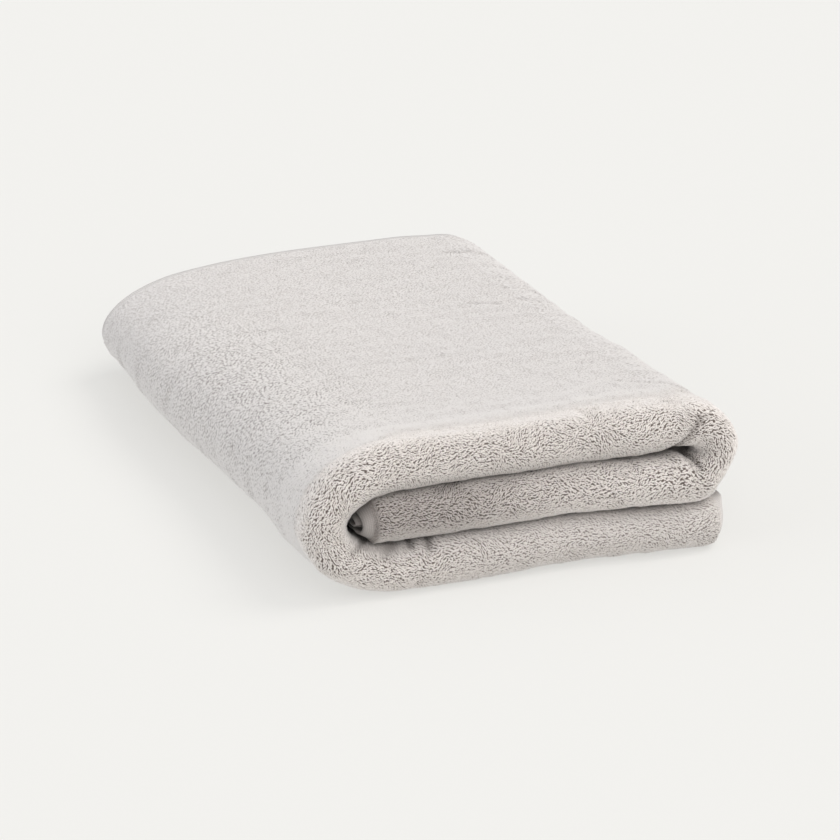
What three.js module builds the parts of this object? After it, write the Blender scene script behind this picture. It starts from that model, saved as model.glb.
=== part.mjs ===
// A terry bath sheet, folded into a thick flat bundle: halved twice over its length, which makes a
// strip of four plies, and then the strip is folded in three, each fold turning the same way.
// Millimetres, +Z up. The double front folds face -Y, the open hems +Y. The origin is under the
// middle of the bundle, on the surface it lies on.
import * as THREE from "three";

// The sheet as it is woven and hemmed
const sheetWidth = 800;
const sheetLength = 1720;
const terryThickness = 7.2;
const hemWidth = 7.5;
const hemThickness = 3.2;
const hemShoulder = 1.8;

// How close the plies lie
const plySpacing = 8;
const layerGap = 1.2;
const layerSpacing = 4 * plySpacing + layerGap;
const stackHeight = 3 * layerSpacing - layerGap;

// The strip of four plies, folded in three
const bottomRun = 213.5;
const topRun = 191.2;
const leftPinch = 0.5;
const leftSqueeze = 0.92;
const rightPinch = 0.2;
const rightOverturn = 0.14;
const rightReturn = 0.5;
const returnPinch = 0.6;
const rightSqueeze = 0.86;
const foldPinch = 0.15;
const hollowWidth = 6;
const endSqueeze = 0.64;
const innerPlyShowsBy = 3;

// How the bundle has settled. back is the share of the way from the front folds to the hems;
// left, middle and right are heights as a share of the full stack.
const settleRows = [
  { back: 0.0, left: 1.0, middle: 1.0, right: 1.0 },
  { back: 0.1, left: 0.94, middle: 0.94, right: 0.958 },
  { back: 0.25, left: 0.87, middle: 0.88, right: 0.912 },
  { back: 0.36, left: 0.838, middle: 0.855, right: 0.893 },
  { back: 0.48, left: 0.8, middle: 0.823, right: 0.825 },
  { back: 0.6, left: 0.78, middle: 0.808, right: 0.795 },
  { back: 0.75, left: 0.755, middle: 0.795, right: 0.78 },
  { back: 1.0, left: 0.64, middle: 0.78, right: 0.765 },
];

// How far the left side lies in, at all heights and, in footRows, near the surface only.
const leftRows = [
  { back: 0.0, inward: 0 },
  { back: 0.1, inward: 0.3 },
  { back: 0.25, inward: 1.2 },
  { back: 0.45, inward: 0 },
  { back: 0.6, inward: -4 },
  { back: 0.75, inward: -4.2 },
  { back: 0.87, inward: 0 },
  { back: 1.0, inward: 1 },
];
const footRows = [
  { back: 0.05, inward: 0 },
  { back: 0.16, inward: -2.2 },
  { back: 0.24, inward: 2.6 },
  { back: 0.38, inward: 0 },
];
const footFullTo = 0.3;
const footGoneBy = 1.4;

// How far each layer's front fold stands forward, from the left side to the right.
const frontRows = [
  { across: 0.0, bottom: 1, middle: 0, top: 1 },
  { across: 0.2, bottom: 2, middle: 0, top: 0 },
  { across: 0.42, bottom: 2.5, middle: 0, top: 0 },
  { across: 0.6, bottom: 1, middle: 0, top: 0 },
  { across: 0.8, bottom: 6, middle: 5, top: 0 },
  { across: 1.0, bottom: 6, middle: 3, top: 0 },
];

// How far the right side stands out, by height in layers from the surface up.
const rightRows = [
  { layer: 0, out: 2 },
  { layer: 0.5, out: 5 },
  { layer: 0.9, out: 5.5 },
  { layer: 1.4, out: -3.5 },
  { layer: 2.0, out: 0 },
  { layer: 3.0, out: 0 },
];
const rightSideFrom = 0.72;
const frontReach = 0.12;

// The front of the bottom layer is lifted a little off the surface right of the middle.
const liftHeight = 1.6;
const liftAt = 0.66;
const liftHalfWidth = 0.17;
const liftReach = 0.06;

// Where the front folds sag onto the layer below or, with a depth under 0, are pushed up by it.
// layer is the height in layers, across the place from the left side to the right.
const sagRows = [
  { across: 0.8, layer: 1.05, depth: 3, halfWidth: 0.13, halfHeight: 0.6 },
  { across: 0.13, layer: 1.95, depth: 4, halfWidth: 0.1, halfHeight: 0.5 },
  { across: 0.05, layer: 0.95, depth: -2.5, halfWidth: 0.08, halfHeight: 0.4 },
];
const sagReach = 0.07;

// The free corner of the bottom layer curls back round its front fold.
const cornerRadius = 6.5;
const cornerStart = 11;
const cornerReach = 34;

// Long soft swells of the upper surface: waves over the side and back shares, each with its start
const swellHeight = 1.1;
const swellWaves = [
  { side: 1.3, back: 0.7, start: 0.6 },
  { side: -0.4, back: 1.1, start: 1.9 },
];

/** A turn's share done after the share t of its length; pinch 0 is an even bend, 1 a sharp nose. */
function turned(t, pinch) {
  const share = THREE.MathUtils.clamp(t, 0, 1);
  return share - (pinch * Math.sin(2 * Math.PI * share)) / (2 * Math.PI);
}

/** Walks along straight and bent runs, each { length, turn, pinch }, from heading, and notes
 *  the place and heading at small even steps. */
function walk(runs, heading) {
  const stepCount = 4000;
  const length = runs.reduce((sum, run) => sum + run.length, 0);
  const step = length / stepCount;
  const headingAt = (distance) => {
    let angle = heading;
    let start = 0;
    for (const run of runs) {
      angle += run.turn * turned((distance - start) / run.length, run.pinch);
      start += run.length;
    }
    return angle;
  };
  const marks = [{ along: 0, up: 0, heading }];
  for (let i = 1; i <= stepCount; i++) {
    const last = marks[i - 1];
    const next = headingAt(i * step);
    marks.push({
      along: last.along + ((Math.cos(last.heading) + Math.cos(next)) / 2) * step,
      up: last.up + ((Math.sin(last.heading) + Math.sin(next)) / 2) * step,
      heading: next,
    });
  }
  return { length, step, marks };
}

/** The mark at a distance along a walk, between its steps. */
function markAt(track, distance) {
  const place = THREE.MathUtils.clamp(distance / track.step, 0, track.marks.length - 1);
  const index = Math.min(Math.floor(place), track.marks.length - 2);
  const a = track.marks[index];
  const b = track.marks[index + 1];
  const t = place - index;
  return {
    along: THREE.MathUtils.lerp(a.along, b.along, t),
    up: THREE.MathUtils.lerp(a.up, b.up, t),
    heading: THREE.MathUtils.lerp(a.heading, b.heading, t),
  };
}

/** How far a bend of unit length rises. */
function riseOf(runs) {
  const { marks } = walk(runs, 0);
  return Math.abs(marks[marks.length - 1].up);
}

/** A smooth curve through one column of a table, read at t of its key column. */
function column(rows, key, name, t) {
  const last = rows.length - 1;
  const at = THREE.MathUtils.clamp(t, rows[0][key], rows[last][key]);
  let index = 0;
  while (index < last - 1 && at >= rows[index + 1][key]) index += 1;
  const slope = (i) => {
    const before = rows[Math.max(i - 1, 0)];
    const after = rows[Math.min(i + 1, last)];
    return (after[name] - before[name]) / (after[key] - before[key]);
  };
  const a = rows[index];
  const b = rows[index + 1];
  const span = b[key] - a[key];
  const w = (at - a[key]) / span;
  return (
    (1 + 2 * w) * (1 - w) ** 2 * a[name] +
    w * (1 - w) ** 2 * span * slope(index) +
    w * w * (3 - 2 * w) * b[name] +
    w * w * (w - 1) * span * slope(index + 1)
  );
}

// The strip's own run in the XZ plane: bottom layer going left, over the left bend, top layer
// going right, under at the right bend, and the middle layer going left between the two.
const leftBend = { turn: -Math.PI, pinch: leftPinch };
leftBend.length = (2 * layerSpacing) / riseOf([{ ...leftBend, length: 1 }]);
const rightBend = { length: 1, turn: -(Math.PI + rightOverturn), pinch: rightPinch };
const rightBack = { length: rightReturn, turn: rightOverturn, pinch: returnPinch };
const rightScale = layerSpacing / riseOf([rightBend, rightBack]);
rightBend.length *= rightScale;
rightBack.length *= rightScale;
const leadRuns = [
  { length: bottomRun, turn: 0, pinch: 0 },
  leftBend,
  { length: topRun, turn: 0, pinch: 0 },
  rightBend,
  rightBack,
];
const lead = walk(leadRuns, Math.PI);
const leadLeft = Math.min(...lead.marks.map((mark) => mark.along));
const leadEnd = lead.marks[lead.marks.length - 1].along;
const middleRun = leadEnd - leadLeft - 2 * plySpacing - hollowWidth;
const stripRuns = [...leadRuns, { length: middleRun, turn: 0, pinch: 0 }];
const strip = walk(stripRuns, Math.PI);
const leftBendEnd = bottomRun + leftBend.length;
const rightBendStart = leftBendEnd + topRun;
const rightBendEnd = rightBendStart + rightBend.length + rightBack.length;

// The four plies across the strip, in its depth and thickness: from the lower outer hem forward,
// round the outer front fold, back to the rear crease, forward again, round the inner front fold
// and back to the second hem.
const bendRise = riseOf([{ length: 1, turn: -Math.PI, pinch: foldPinch }]);
const outerFoldLength = (3 * plySpacing) / bendRise;
const innerFoldLength = plySpacing / bendRise;
const noseOf = (length) => {
  const { marks } = walk([{ length, turn: -Math.PI, pinch: foldPinch }], Math.PI);
  return -Math.min(...marks.map((mark) => mark.along));
};
const innerStart = plySpacing + noseOf(innerFoldLength) - noseOf(outerFoldLength);
const outerRun = (sheetLength - outerFoldLength - 2 * innerFoldLength + 2 * innerStart) / 4;
const innerRun = outerRun - innerStart;
const plyRuns = [
  { length: outerRun, turn: 0, pinch: 0 },
  { length: outerFoldLength, turn: -Math.PI, pinch: foldPinch },
  { length: outerRun, turn: 0, pinch: 0 },
  { length: innerFoldLength, turn: -Math.PI, pinch: foldPinch },
  { length: innerRun, turn: 0, pinch: 0 },
  { length: innerFoldLength, turn: Math.PI, pinch: foldPinch },
  { length: innerRun, turn: 0, pinch: 0 },
];
const plies = walk(plyRuns, Math.PI);
const plyFront = Math.min(...plies.marks.map((mark) => mark.along)) - terryThickness / 2;
const plyBack = Math.max(...plies.marks.map((mark) => mark.along)) + terryThickness / 2;
const bundleDepth = plyBack - plyFront;
const underside = 1.5 * plySpacing + terryThickness / 2;
const stripEnd = strip.marks[0].along;
const stripLeft = Math.min(...strip.marks.map((mark) => mark.along)) - 2 * plySpacing;
const stripRight = Math.max(...strip.marks.map((mark) => mark.along)) + 2 * plySpacing;
const bundleWidth = stripRight - stripLeft;

/** A place in the cloth: across is measured over the sheet's width, down over its length, and
 *  off is the height over the cloth's middle. Returns the place in the freshly folded bundle,
 *  where the folds take up a little of the width. */
function folded(across, down, off) {
  const ply = markAt(plies, down);
  const depth = ply.along - plyFront + off * Math.cos(ply.heading + Math.PI / 2);
  const rise = ply.up - 1.5 * plySpacing + off * Math.sin(ply.heading + Math.PI / 2);
  const eased = (across * strip.length) / sheetWidth;
  const left = THREE.MathUtils.smoothstep(eased, bottomRun - layerSpacing, bottomRun + layerSpacing)
    - THREE.MathUtils.smoothstep(eased, leftBendEnd - layerSpacing, leftBendEnd + layerSpacing);
  const right = THREE.MathUtils.smoothstep(eased, rightBendStart - layerSpacing, rightBendStart)
    - THREE.MathUtils.smoothstep(eased, rightBendEnd, rightBendEnd + layerSpacing);
  const end = THREE.MathUtils.clamp((eased - strip.length + hemWidth) / hemWidth, 0, 1);
  const squeezed = rise
    * (1 + (leftSqueeze - 1) * left + (rightSqueeze - 1) * right)
    * THREE.MathUtils.lerp(1, endSqueeze, end);
  const inner = THREE.MathUtils.smoothstep(down, outerRun + outerFoldLength + outerRun / 2, plies.length);
  const slid = eased + inner * innerPlyShowsBy * THREE.MathUtils.smoothstep(eased, rightBendEnd, strip.length);
  const run = markAt(strip, Math.min(slid, strip.length));
  const beyond = Math.max(slid - strip.length, 0);
  return new THREE.Vector3(
    run.along - beyond + squeezed * Math.cos(run.heading - Math.PI / 2),
    depth,
    run.up + underside + squeezed * Math.sin(run.heading - Math.PI / 2),
  );
}

/** Lets the folded bundle settle: it is lower towards the back, and its sides and its front
 *  folds stand in and out a little. */
function settled(point) {
  const back = THREE.MathUtils.clamp(point.y / bundleDepth, 0, 1);
  const side = THREE.MathUtils.clamp((point.x - stripLeft) / bundleWidth, 0, 1);
  const layer = point.z / layerSpacing;
  const upper = THREE.MathUtils.clamp(point.z / stackHeight, 0, 1);
  const height =
    column(settleRows, "back", "left", back) * (1 - side) * (1 - 2 * side) +
    column(settleRows, "back", "middle", back) * 4 * side * (1 - side) +
    column(settleRows, "back", "right", back) * side * (2 * side - 1);
  const lowShare = Math.max(1 - 2 * upper, 0);
  const topShare = Math.max(2 * upper - 1, 0);
  const forward =
    column(frontRows, "across", "bottom", side) * lowShare +
    column(frontRows, "across", "middle", side) * (1 - lowShare - topShare) +
    column(frontRows, "across", "top", side) * topShare;
  const nearFront = Math.exp(-((back / frontReach) ** 2));
  const foot = column(footRows, "back", "inward", back)
    * (1 - THREE.MathUtils.smoothstep(layer, footFullTo, footGoneBy));
  const leftIn = (column(leftRows, "back", "inward", back) + foot) * (1 - side) ** 2;
  const rightOut = column(rightRows, "layer", "out", layer)
    * THREE.MathUtils.smoothstep(side, rightSideFrom, 1);
  const lift = liftHeight * Math.exp(-(((side - liftAt) / liftHalfWidth) ** 2))
    * Math.exp(-((back / liftReach) ** 2)) * lowShare;
  let sag = 0;
  for (const row of sagRows) {
    const away = ((side - row.across) / row.halfWidth) ** 2 + ((layer - row.layer) / row.halfHeight) ** 2;
    sag += row.depth * Math.exp(-away - (back / sagReach) ** 2) * Math.min(layer, 1);
  }
  let swell = swellHeight * upper ** 2;
  for (const wave of swellWaves) {
    swell *= Math.sin(2 * Math.PI * (wave.side * side + wave.back * back) + wave.start);
  }
  const curl = Math.max(cornerStart - (stripEnd - point.x), 0)
    * (1 - THREE.MathUtils.smoothstep(point.y, 0, cornerReach))
    * (1 - THREE.MathUtils.smoothstep(point.z, layerSpacing, 1.5 * layerSpacing));
  const curlIn = curl - cornerRadius * Math.sin(curl / cornerRadius);
  const curlBack = cornerRadius * (1 - Math.cos(curl / cornerRadius));
  return new THREE.Vector3(
    point.x + leftIn + rightOut - curlIn,
    point.y - forward * nearFront + curlBack,
    point.z * height + lift + swell - sag,
  );
}

/** Even stations over each run of a walk, with the number of steps for each run. */
function stations(runs, steps) {
  const list = [0];
  let start = 0;
  runs.forEach((run, index) => {
    for (let i = 1; i <= steps[index]; i++) list.push(start + (run.length * i) / steps[index]);
    start += run.length;
  });
  return list;
}

/** Puts the hem's fold line and shoulder into a list of stations at both of its ends. */
function withHems(list) {
  const end = list[list.length - 1];
  const marks = [hemWidth, hemWidth + hemShoulder];
  const inside = list.filter((at) => at > marks[1] + hemShoulder && at < end - marks[1] - hemShoulder);
  return [0, ...marks, ...inside, end - marks[1], end - marks[0], end];
}

/** The cloth's thickness: thin at the flat hems on all four sides, full where the loops are. */
function thicknessAt(across, down) {
  const inset = Math.min(across, sheetWidth - across, down, sheetLength - down);
  const share = THREE.MathUtils.smoothstep(inset, hemWidth, hemWidth + hemShoulder);
  return THREE.MathUtils.lerp(hemThickness, terryThickness, share);
}

/** The whole sheet as one closed skin: its two faces on a grid of stations, joined at the rim. */
function sheetGeometry(acrossStations, downStations) {
  const rows = acrossStations.length;
  const columns = downStations.length;
  const positions = [];
  for (const face of [0.5, -0.5]) {
    for (const across of acrossStations) {
      for (const down of downStations) {
        positions.push(settled(folded(across, down, face * thicknessAt(across, down))));
      }
    }
  }
  const at = (face, row, col) => face * rows * columns + row * columns + col;
  const indices = [];
  const quad = (a, b, c, d) => indices.push(a, c, b, a, d, c);
  for (let col = 0; col < columns - 1; col++) {
    const goesBack = Math.cos(markAt(plies, (downStations[col] + downStations[col + 1]) / 2).heading) > 0;
    for (let row = 0; row < rows - 1; row++) {
      const near = goesBack ? row + 1 : row;
      const far = goesBack ? row : row + 1;
      // Facing plies share one diagonal, so that their facets keep apart.
      const upper = [at(0, near, col), at(0, far, col), at(0, far, col + 1), at(0, near, col + 1)];
      const lower = [at(1, near, col), at(1, far, col), at(1, far, col + 1), at(1, near, col + 1)];
      if (goesBack) upper.reverse();
      else lower.reverse();
      quad(...upper);
      quad(...lower);
    }
  }
  for (let row = 0; row < rows - 1; row++) {
    quad(at(0, row, 0), at(1, row, 0), at(1, row + 1, 0), at(0, row + 1, 0));
    const end = columns - 1;
    quad(at(0, row, end), at(0, row + 1, end), at(1, row + 1, end), at(1, row, end));
  }
  for (let col = 0; col < columns - 1; col++) {
    quad(at(0, 0, col), at(0, 0, col + 1), at(1, 0, col + 1), at(1, 0, col));
    const end = rows - 1;
    quad(at(0, end, col), at(1, end, col), at(1, end, col + 1), at(0, end, col + 1));
  }
  const geometry = new THREE.BufferGeometry().setFromPoints(positions);
  geometry.setIndex(indices);
  geometry.computeVertexNormals();
  return geometry;
}

// Fewer steps where the cloth runs straight, more round the folds.
const overStrip = stations(stripRuns, [7, 12, 7, 10, 2, 6]);
const acrossStations = withHems(overStrip.map((at) => (at * sheetWidth) / strip.length));
const downStations = withHems(stations(plyRuns, [7, 8, 7, 6, 7, 6, 7]));

const sheet = sheetGeometry(acrossStations, downStations);
sheet.computeBoundingBox();
const middle = sheet.boundingBox.getCenter(new THREE.Vector3());
sheet.translate(-middle.x, -middle.y, -sheet.boundingBox.min.z);

const terry = new THREE.MeshStandardMaterial({ color: 0xcfcac6, roughness: 0.95, metalness: 0 });
const bathSheet = new THREE.Mesh(sheet, terry);
bathSheet.name = "bath_sheet";

const part = new THREE.Group();
part.add(bathSheet);

export default part;
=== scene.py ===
# %% [markdown]
# # A folded bath sheet in thick terry
# A bath sheet is one rectangle of terry: a ground cloth with uncut loops standing on both faces
# and a flat hem all round. Here it is halved twice over its length and the strip is then folded in
# three. The whole cloth is worked out from where each point lies in the flat sheet, so loops,
# creases and hems stay where a weaver put them, whichever fold they end up in.

# %% The frame and the tools
import math

import bpy
import numpy as np
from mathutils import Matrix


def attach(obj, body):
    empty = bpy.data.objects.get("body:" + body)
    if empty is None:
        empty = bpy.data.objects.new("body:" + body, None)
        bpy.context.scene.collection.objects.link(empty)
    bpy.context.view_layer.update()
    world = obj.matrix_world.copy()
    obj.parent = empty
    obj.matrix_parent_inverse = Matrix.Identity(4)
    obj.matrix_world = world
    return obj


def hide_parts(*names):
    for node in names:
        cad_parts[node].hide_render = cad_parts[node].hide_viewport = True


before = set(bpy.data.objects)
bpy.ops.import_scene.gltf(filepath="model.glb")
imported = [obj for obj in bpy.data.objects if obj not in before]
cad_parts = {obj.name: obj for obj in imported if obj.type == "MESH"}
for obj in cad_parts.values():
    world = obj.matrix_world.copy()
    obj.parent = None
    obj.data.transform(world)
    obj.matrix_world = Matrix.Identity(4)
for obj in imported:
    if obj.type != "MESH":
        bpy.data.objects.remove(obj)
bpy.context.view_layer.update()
MM = 0.001

# %% [markdown]
# ## The camera
# The bundle is seen from its left front corner, from a little above, and its front edges hardly
# draw together, as through a long lens. A camera could be placed by eye, but fitting the folded
# form to the outline gives its lens, angle, height and distance together, so they are used.

# %% Camera
lens_mm = 162.9
camera_azimuth = math.radians(-21.4)
camera_height = math.radians(21.31)
camera_distance = 2.434
looks_at = np.array([-0.0103, -0.065, 0.0499])
sees_as_far_as = 60


def away(azimuth, height):
    """The unit vector that points from the object to a lamp or camera: azimuth 0 is in front."""
    return np.array([
        math.sin(azimuth) * math.cos(height),
        -math.cos(azimuth) * math.cos(height),
        math.sin(height),
    ])


camera_data = bpy.data.cameras.new("long_lens")
camera_data.lens = lens_mm
camera_data.clip_end = sees_as_far_as
camera = bpy.data.objects.new("long_lens", camera_data)
bpy.context.scene.collection.objects.link(camera)
camera.location = looks_at + camera_distance * away(camera_azimuth, camera_height)
camera.rotation_euler = (math.pi / 2 - camera_height, 0, camera_azimuth)
bpy.context.scene.camera = camera
print("camera at", [round(v, 3) for v in camera.location])

# %% [markdown]
# ## The fold, as a walk
# A fold could be a cloth simulation, but the simulated stack of twelve plies never stops creeping.
# Instead the strip walks through its own section: straight, round the left bend, straight, round
# the right bend, straight. A second walk does the same for the four plies across the strip. A
# point of the cloth takes its place from both walks.

# %% The sheet and its folds, in millimetres, turns in radians
sheet_width = 800
sheet_length = 1720
terry_thickness = 7.2
hem_width = 7.5
hem_thickness = 3.2
hem_shoulder = 1.8
ply_spacing = 8
layer_gap = 1.2
layer_spacing = 4 * ply_spacing + layer_gap
stack_height = 3 * layer_spacing - layer_gap
bottom_run = 213.5
top_run = 191.2
left_pinch = 0.5
left_squeeze = 0.92
right_pinch = 0.2
right_overturn = 0.14
right_return = 0.5
return_pinch = 0.6
right_squeeze = 0.86
fold_pinch = 0.15
hollow_width = 6
end_squeeze = 0.64
inner_ply_shows_by = 3


def smoothstep(value, low, high):
    """0 below low, 1 above high, and 3t² - 2t³ between."""
    t = np.clip((value - low) / (high - low), 0, 1)
    return t * t * (3 - 2 * t)


def turned(t, pinch):
    """The share of a turn done after the share t of its length: t - pinch sin(2πt) / 2π."""
    share = np.clip(t, 0, 1)
    return share - pinch * np.sin(2 * np.pi * share) / (2 * np.pi)


def walk(runs, heading, steps=4000):
    """Adds up cos and sin of the heading along runs of (length, turn, pinch)."""
    gone = np.linspace(0, sum(run[0] for run in runs), steps + 1)
    angle = np.full_like(gone, heading)
    start = 0
    for length, turn, pinch in runs:
        angle += turn * turned((gone - start) / length, pinch)
        start += length

    def added_up(slope):
        return np.concatenate([[0], np.cumsum((slope[1:] + slope[:-1]) / 2) * gone[1]])

    return dict(gone=gone, along=added_up(np.cos(angle)), up=added_up(np.sin(angle)), heading=angle)


def mark_at(track, distance):
    """Place and heading at a distance along a walk, read between its steps."""
    return [np.interp(distance, track["gone"], track[key]) for key in ("along", "up", "heading")]


def rise_of(runs):
    """How far a bend of unit length rises."""
    return abs(walk(runs, 0)["up"][-1])


# %% The strip folded in three, and its four plies
left_length = 2 * layer_spacing / rise_of([(1, -math.pi, left_pinch)])
left_end = bottom_run + left_length
right_turn = -(math.pi + right_overturn)
right_shape = [(1, right_turn, right_pinch), (right_return, right_overturn, return_pinch)]
right_scale = layer_spacing / rise_of(right_shape)
lead_runs = [
    (bottom_run, 0, 0),
    (left_length, -math.pi, left_pinch),
    (top_run, 0, 0),
    *[(length * right_scale, turn, pinch) for length, turn, pinch in right_shape],
]
lead = walk(lead_runs, math.pi)
middle_run = lead["along"][-1] - lead["along"].min() - 2 * ply_spacing - hollow_width
strip = walk([*lead_runs, (middle_run, 0, 0)], math.pi)
strip_length = strip["gone"][-1]
right_start = left_end + top_run
right_end = right_start + right_scale * (1 + right_return)

fold_rise = rise_of([(1, -math.pi, fold_pinch)])
outer_fold = 3 * ply_spacing / fold_rise
inner_fold = ply_spacing / fold_rise


def nose_of(length):
    """How far a fold of this length reaches beyond where it starts."""
    return -walk([(length, -math.pi, fold_pinch)], math.pi)["along"].min()


inner_start = ply_spacing + nose_of(inner_fold) - nose_of(outer_fold)
outer_run = (sheet_length - outer_fold - 2 * inner_fold + 2 * inner_start) / 4
inner_run = outer_run - inner_start
plies = walk(
    [
        (outer_run, 0, 0),
        (outer_fold, -math.pi, fold_pinch),
        (outer_run, 0, 0),
        (inner_fold, -math.pi, fold_pinch),
        (inner_run, 0, 0),
        (inner_fold, math.pi, fold_pinch),
        (inner_run, 0, 0),
    ],
    math.pi,
)
ply_front = plies["along"].min() - terry_thickness / 2
bundle_depth = plies["along"].max() + terry_thickness / 2 - ply_front
strip_end = strip["along"][0]
strip_left = strip["along"].min() - 2 * ply_spacing
bundle_width = strip["along"].max() + 2 * ply_spacing - strip_left
stack_middle = 1.5 * ply_spacing
inner_from = 1.5 * outer_run + outer_fold
print("strip", round(strip_length, 1), "mm, bundle depth", round(bundle_depth, 1), "mm")


def folded(across, down, off):
    """The place in the fresh fold of a point of the flat sheet, off over the cloth's middle.
    The ply walk gives depth and rise, and rise is then laid along the strip walk's normal."""
    along, up, heading = mark_at(plies, down)
    depth = along - ply_front + off * np.cos(heading + np.pi / 2)
    rise = up - stack_middle + off * np.sin(heading + np.pi / 2)
    eased = across * strip_length / sheet_width
    left = smoothstep(eased, bottom_run - layer_spacing, bottom_run + layer_spacing)
    left -= smoothstep(eased, left_end - layer_spacing, left_end + layer_spacing)
    right = smoothstep(eased, right_start - layer_spacing, right_start)
    right -= smoothstep(eased, right_end, right_end + layer_spacing)
    end = np.clip((eased - strip_length + hem_width) / hem_width, 0, 1)
    squeezed = rise * (1 + (left_squeeze - 1) * left + (right_squeeze - 1) * right)
    squeezed = squeezed * (1 + (end_squeeze - 1) * end)
    inner = smoothstep(down, inner_from, sheet_length)
    slid = eased + inner * inner_ply_shows_by * smoothstep(eased, right_end, strip_length)
    x, z, turn = mark_at(strip, np.minimum(slid, strip_length))
    underside = stack_middle + terry_thickness / 2
    x = x - np.maximum(slid - strip_length, 0) + squeezed * np.cos(turn - np.pi / 2)
    return x, depth, z + underside + squeezed * np.sin(turn - np.pi / 2)


# %% [markdown]
# ## Settling
# A fresh fold is a neat block. On a shelf it sinks towards the open hems at the back, its corners
# drop, and the front folds stand out unevenly. Sculpting could do that, but a change of the grid
# would lose it. So each is a smooth curve through a short table, laid over the finished fold, and
# the loops settle by the same curves as the cloth they stand on.

# %% How the bundle has settled
settle_back = [0, 0.1, 0.25, 0.36, 0.48, 0.6, 0.75, 1]
settle_height = dict(
    left=[1, 0.94, 0.87, 0.838, 0.8, 0.78, 0.755, 0.64],
    middle=[1, 0.94, 0.88, 0.855, 0.823, 0.808, 0.795, 0.78],
    right=[1, 0.958, 0.912, 0.893, 0.825, 0.795, 0.78, 0.765],
)
left_back = [0, 0.1, 0.25, 0.45, 0.6, 0.75, 0.87, 1]
left_in = [0, 0.3, 1.2, 0, -4, -4.2, 0, 1]
foot_back = [0.05, 0.16, 0.24, 0.38]
foot_in = [0, -2.2, 2.6, 0]
foot_layers = (0.3, 1.4)
front_across = [0, 0.2, 0.42, 0.6, 0.8, 1]
front_forward = dict(
    bottom=[1, 2, 2.5, 1, 6, 6],
    middle=[0, 0, 0, 0, 5, 3],
    top=[1, 0, 0, 0, 0, 0],
)
right_layer = [0, 0.5, 0.9, 1.4, 2, 3]
right_out = [2, 5, 5.5, -3.5, 0, 0]
right_side_from = 0.72
front_reach = 0.12
lift_height = 1.6
lift_at = 0.66
lift_half_width = 0.17
lift_reach = 0.06
sags = [
    dict(across=0.8, layer=1.05, depth=3, half_width=0.13, half_height=0.6),
    dict(across=0.13, layer=1.95, depth=4, half_width=0.1, half_height=0.5),
    dict(across=0.05, layer=0.95, depth=-2.5, half_width=0.08, half_height=0.4),
]
sag_reach = 0.07
corner_radius = 6.5
corner_start = 11
corner_reach = 34
swell_height = 1.1
swell_first = (1.3, 0.7, 0.6)
swell_second = (-0.4, 1.1, 1.9)


def column(keys, values, at):
    """A smooth curve through a table: cubic between rows, each slope taken from its neighbours."""
    keys = np.array(keys, float)
    values = np.array(values, float)
    last = len(keys) - 1
    before = np.maximum(np.arange(last + 1) - 1, 0)
    after = np.minimum(np.arange(last + 1) + 1, last)
    slope = (values[after] - values[before]) / (keys[after] - keys[before])
    at = np.clip(at, keys[0], keys[-1])
    row = np.clip(np.searchsorted(keys, at, side="right") - 1, 0, last - 1)
    span = keys[row + 1] - keys[row]
    w = (at - keys[row]) / span
    return (
        (1 + 2 * w) * (1 - w) ** 2 * values[row]
        + w * (1 - w) ** 2 * span * slope[row]
        + w * w * (3 - 2 * w) * values[row + 1]
        + w * w * (w - 1) * span * slope[row + 1]
    )


def settled(x, y, z):
    """Lowers, leans and swells a fresh fold: height times a table over depth and side, both sides
    and the front folds moved by tables, a lifted and sagging front, a curled corner at the
    bottom layer's end, and a long swell on the upper surface."""
    back = np.clip(y / bundle_depth, 0, 1)
    side = np.clip((x - strip_left) / bundle_width, 0, 1)
    upper = np.clip(z / stack_height, 0, 1)
    layer = z / layer_spacing
    height = (
        column(settle_back, settle_height["left"], back) * (1 - side) * (1 - 2 * side)
        + column(settle_back, settle_height["middle"], back) * 4 * side * (1 - side)
        + column(settle_back, settle_height["right"], back) * side * (2 * side - 1)
    )
    low = np.maximum(1 - 2 * upper, 0)
    top = np.maximum(2 * upper - 1, 0)
    forward = (
        column(front_across, front_forward["bottom"], side) * low
        + column(front_across, front_forward["middle"], side) * (1 - low - top)
        + column(front_across, front_forward["top"], side) * top
    )
    near_front = np.exp(-((back / front_reach) ** 2))
    out = column(right_layer, right_out, layer) * smoothstep(side, right_side_from, 1)
    lift = lift_height * np.exp(-(((side - lift_at) / lift_half_width) ** 2))
    lift *= np.exp(-((back / lift_reach) ** 2)) * low
    sag = 0
    for row in sags:
        reach = ((side - row["across"]) / row["half_width"]) ** 2
        reach = reach + ((layer - row["layer"]) / row["half_height"]) ** 2
        sag = sag + row["depth"] * np.exp(-reach) * np.minimum(layer, 1)
    sag = sag * np.exp(-((back / sag_reach) ** 2))
    swell = swell_height * upper**2
    for by_side, by_back, start in (swell_first, swell_second):
        swell = swell * np.sin(2 * np.pi * (by_side * side + by_back * back) + start)
    curl = np.maximum(corner_start - (strip_end - x), 0)
    curl *= 1 - smoothstep(y, 0, corner_reach)
    curl *= 1 - smoothstep(z, layer_spacing, 1.5 * layer_spacing)
    foot = column(foot_back, foot_in, back) * (1 - smoothstep(layer, *foot_layers))
    inward = column(left_back, left_in, back) + foot
    return (
        x + inward * (1 - side) ** 2 + out
        - (curl - corner_radius * np.sin(curl / corner_radius)),
        y - forward * near_front + corner_radius * (1 - np.cos(curl / corner_radius)),
        z * height + lift + swell - sag,
    )


def place_of(across, down, off):
    """The place in the settled bundle of a point of the flat sheet, off over the cloth's middle."""
    return np.stack(settled(*folded(across, down, off)), -1)


def inset_at(across, down):
    """The distance to the nearest edge of the flat sheet."""
    sides = np.minimum(across, sheet_width - across)
    return np.minimum(sides, np.minimum(down, sheet_length - down))


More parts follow.
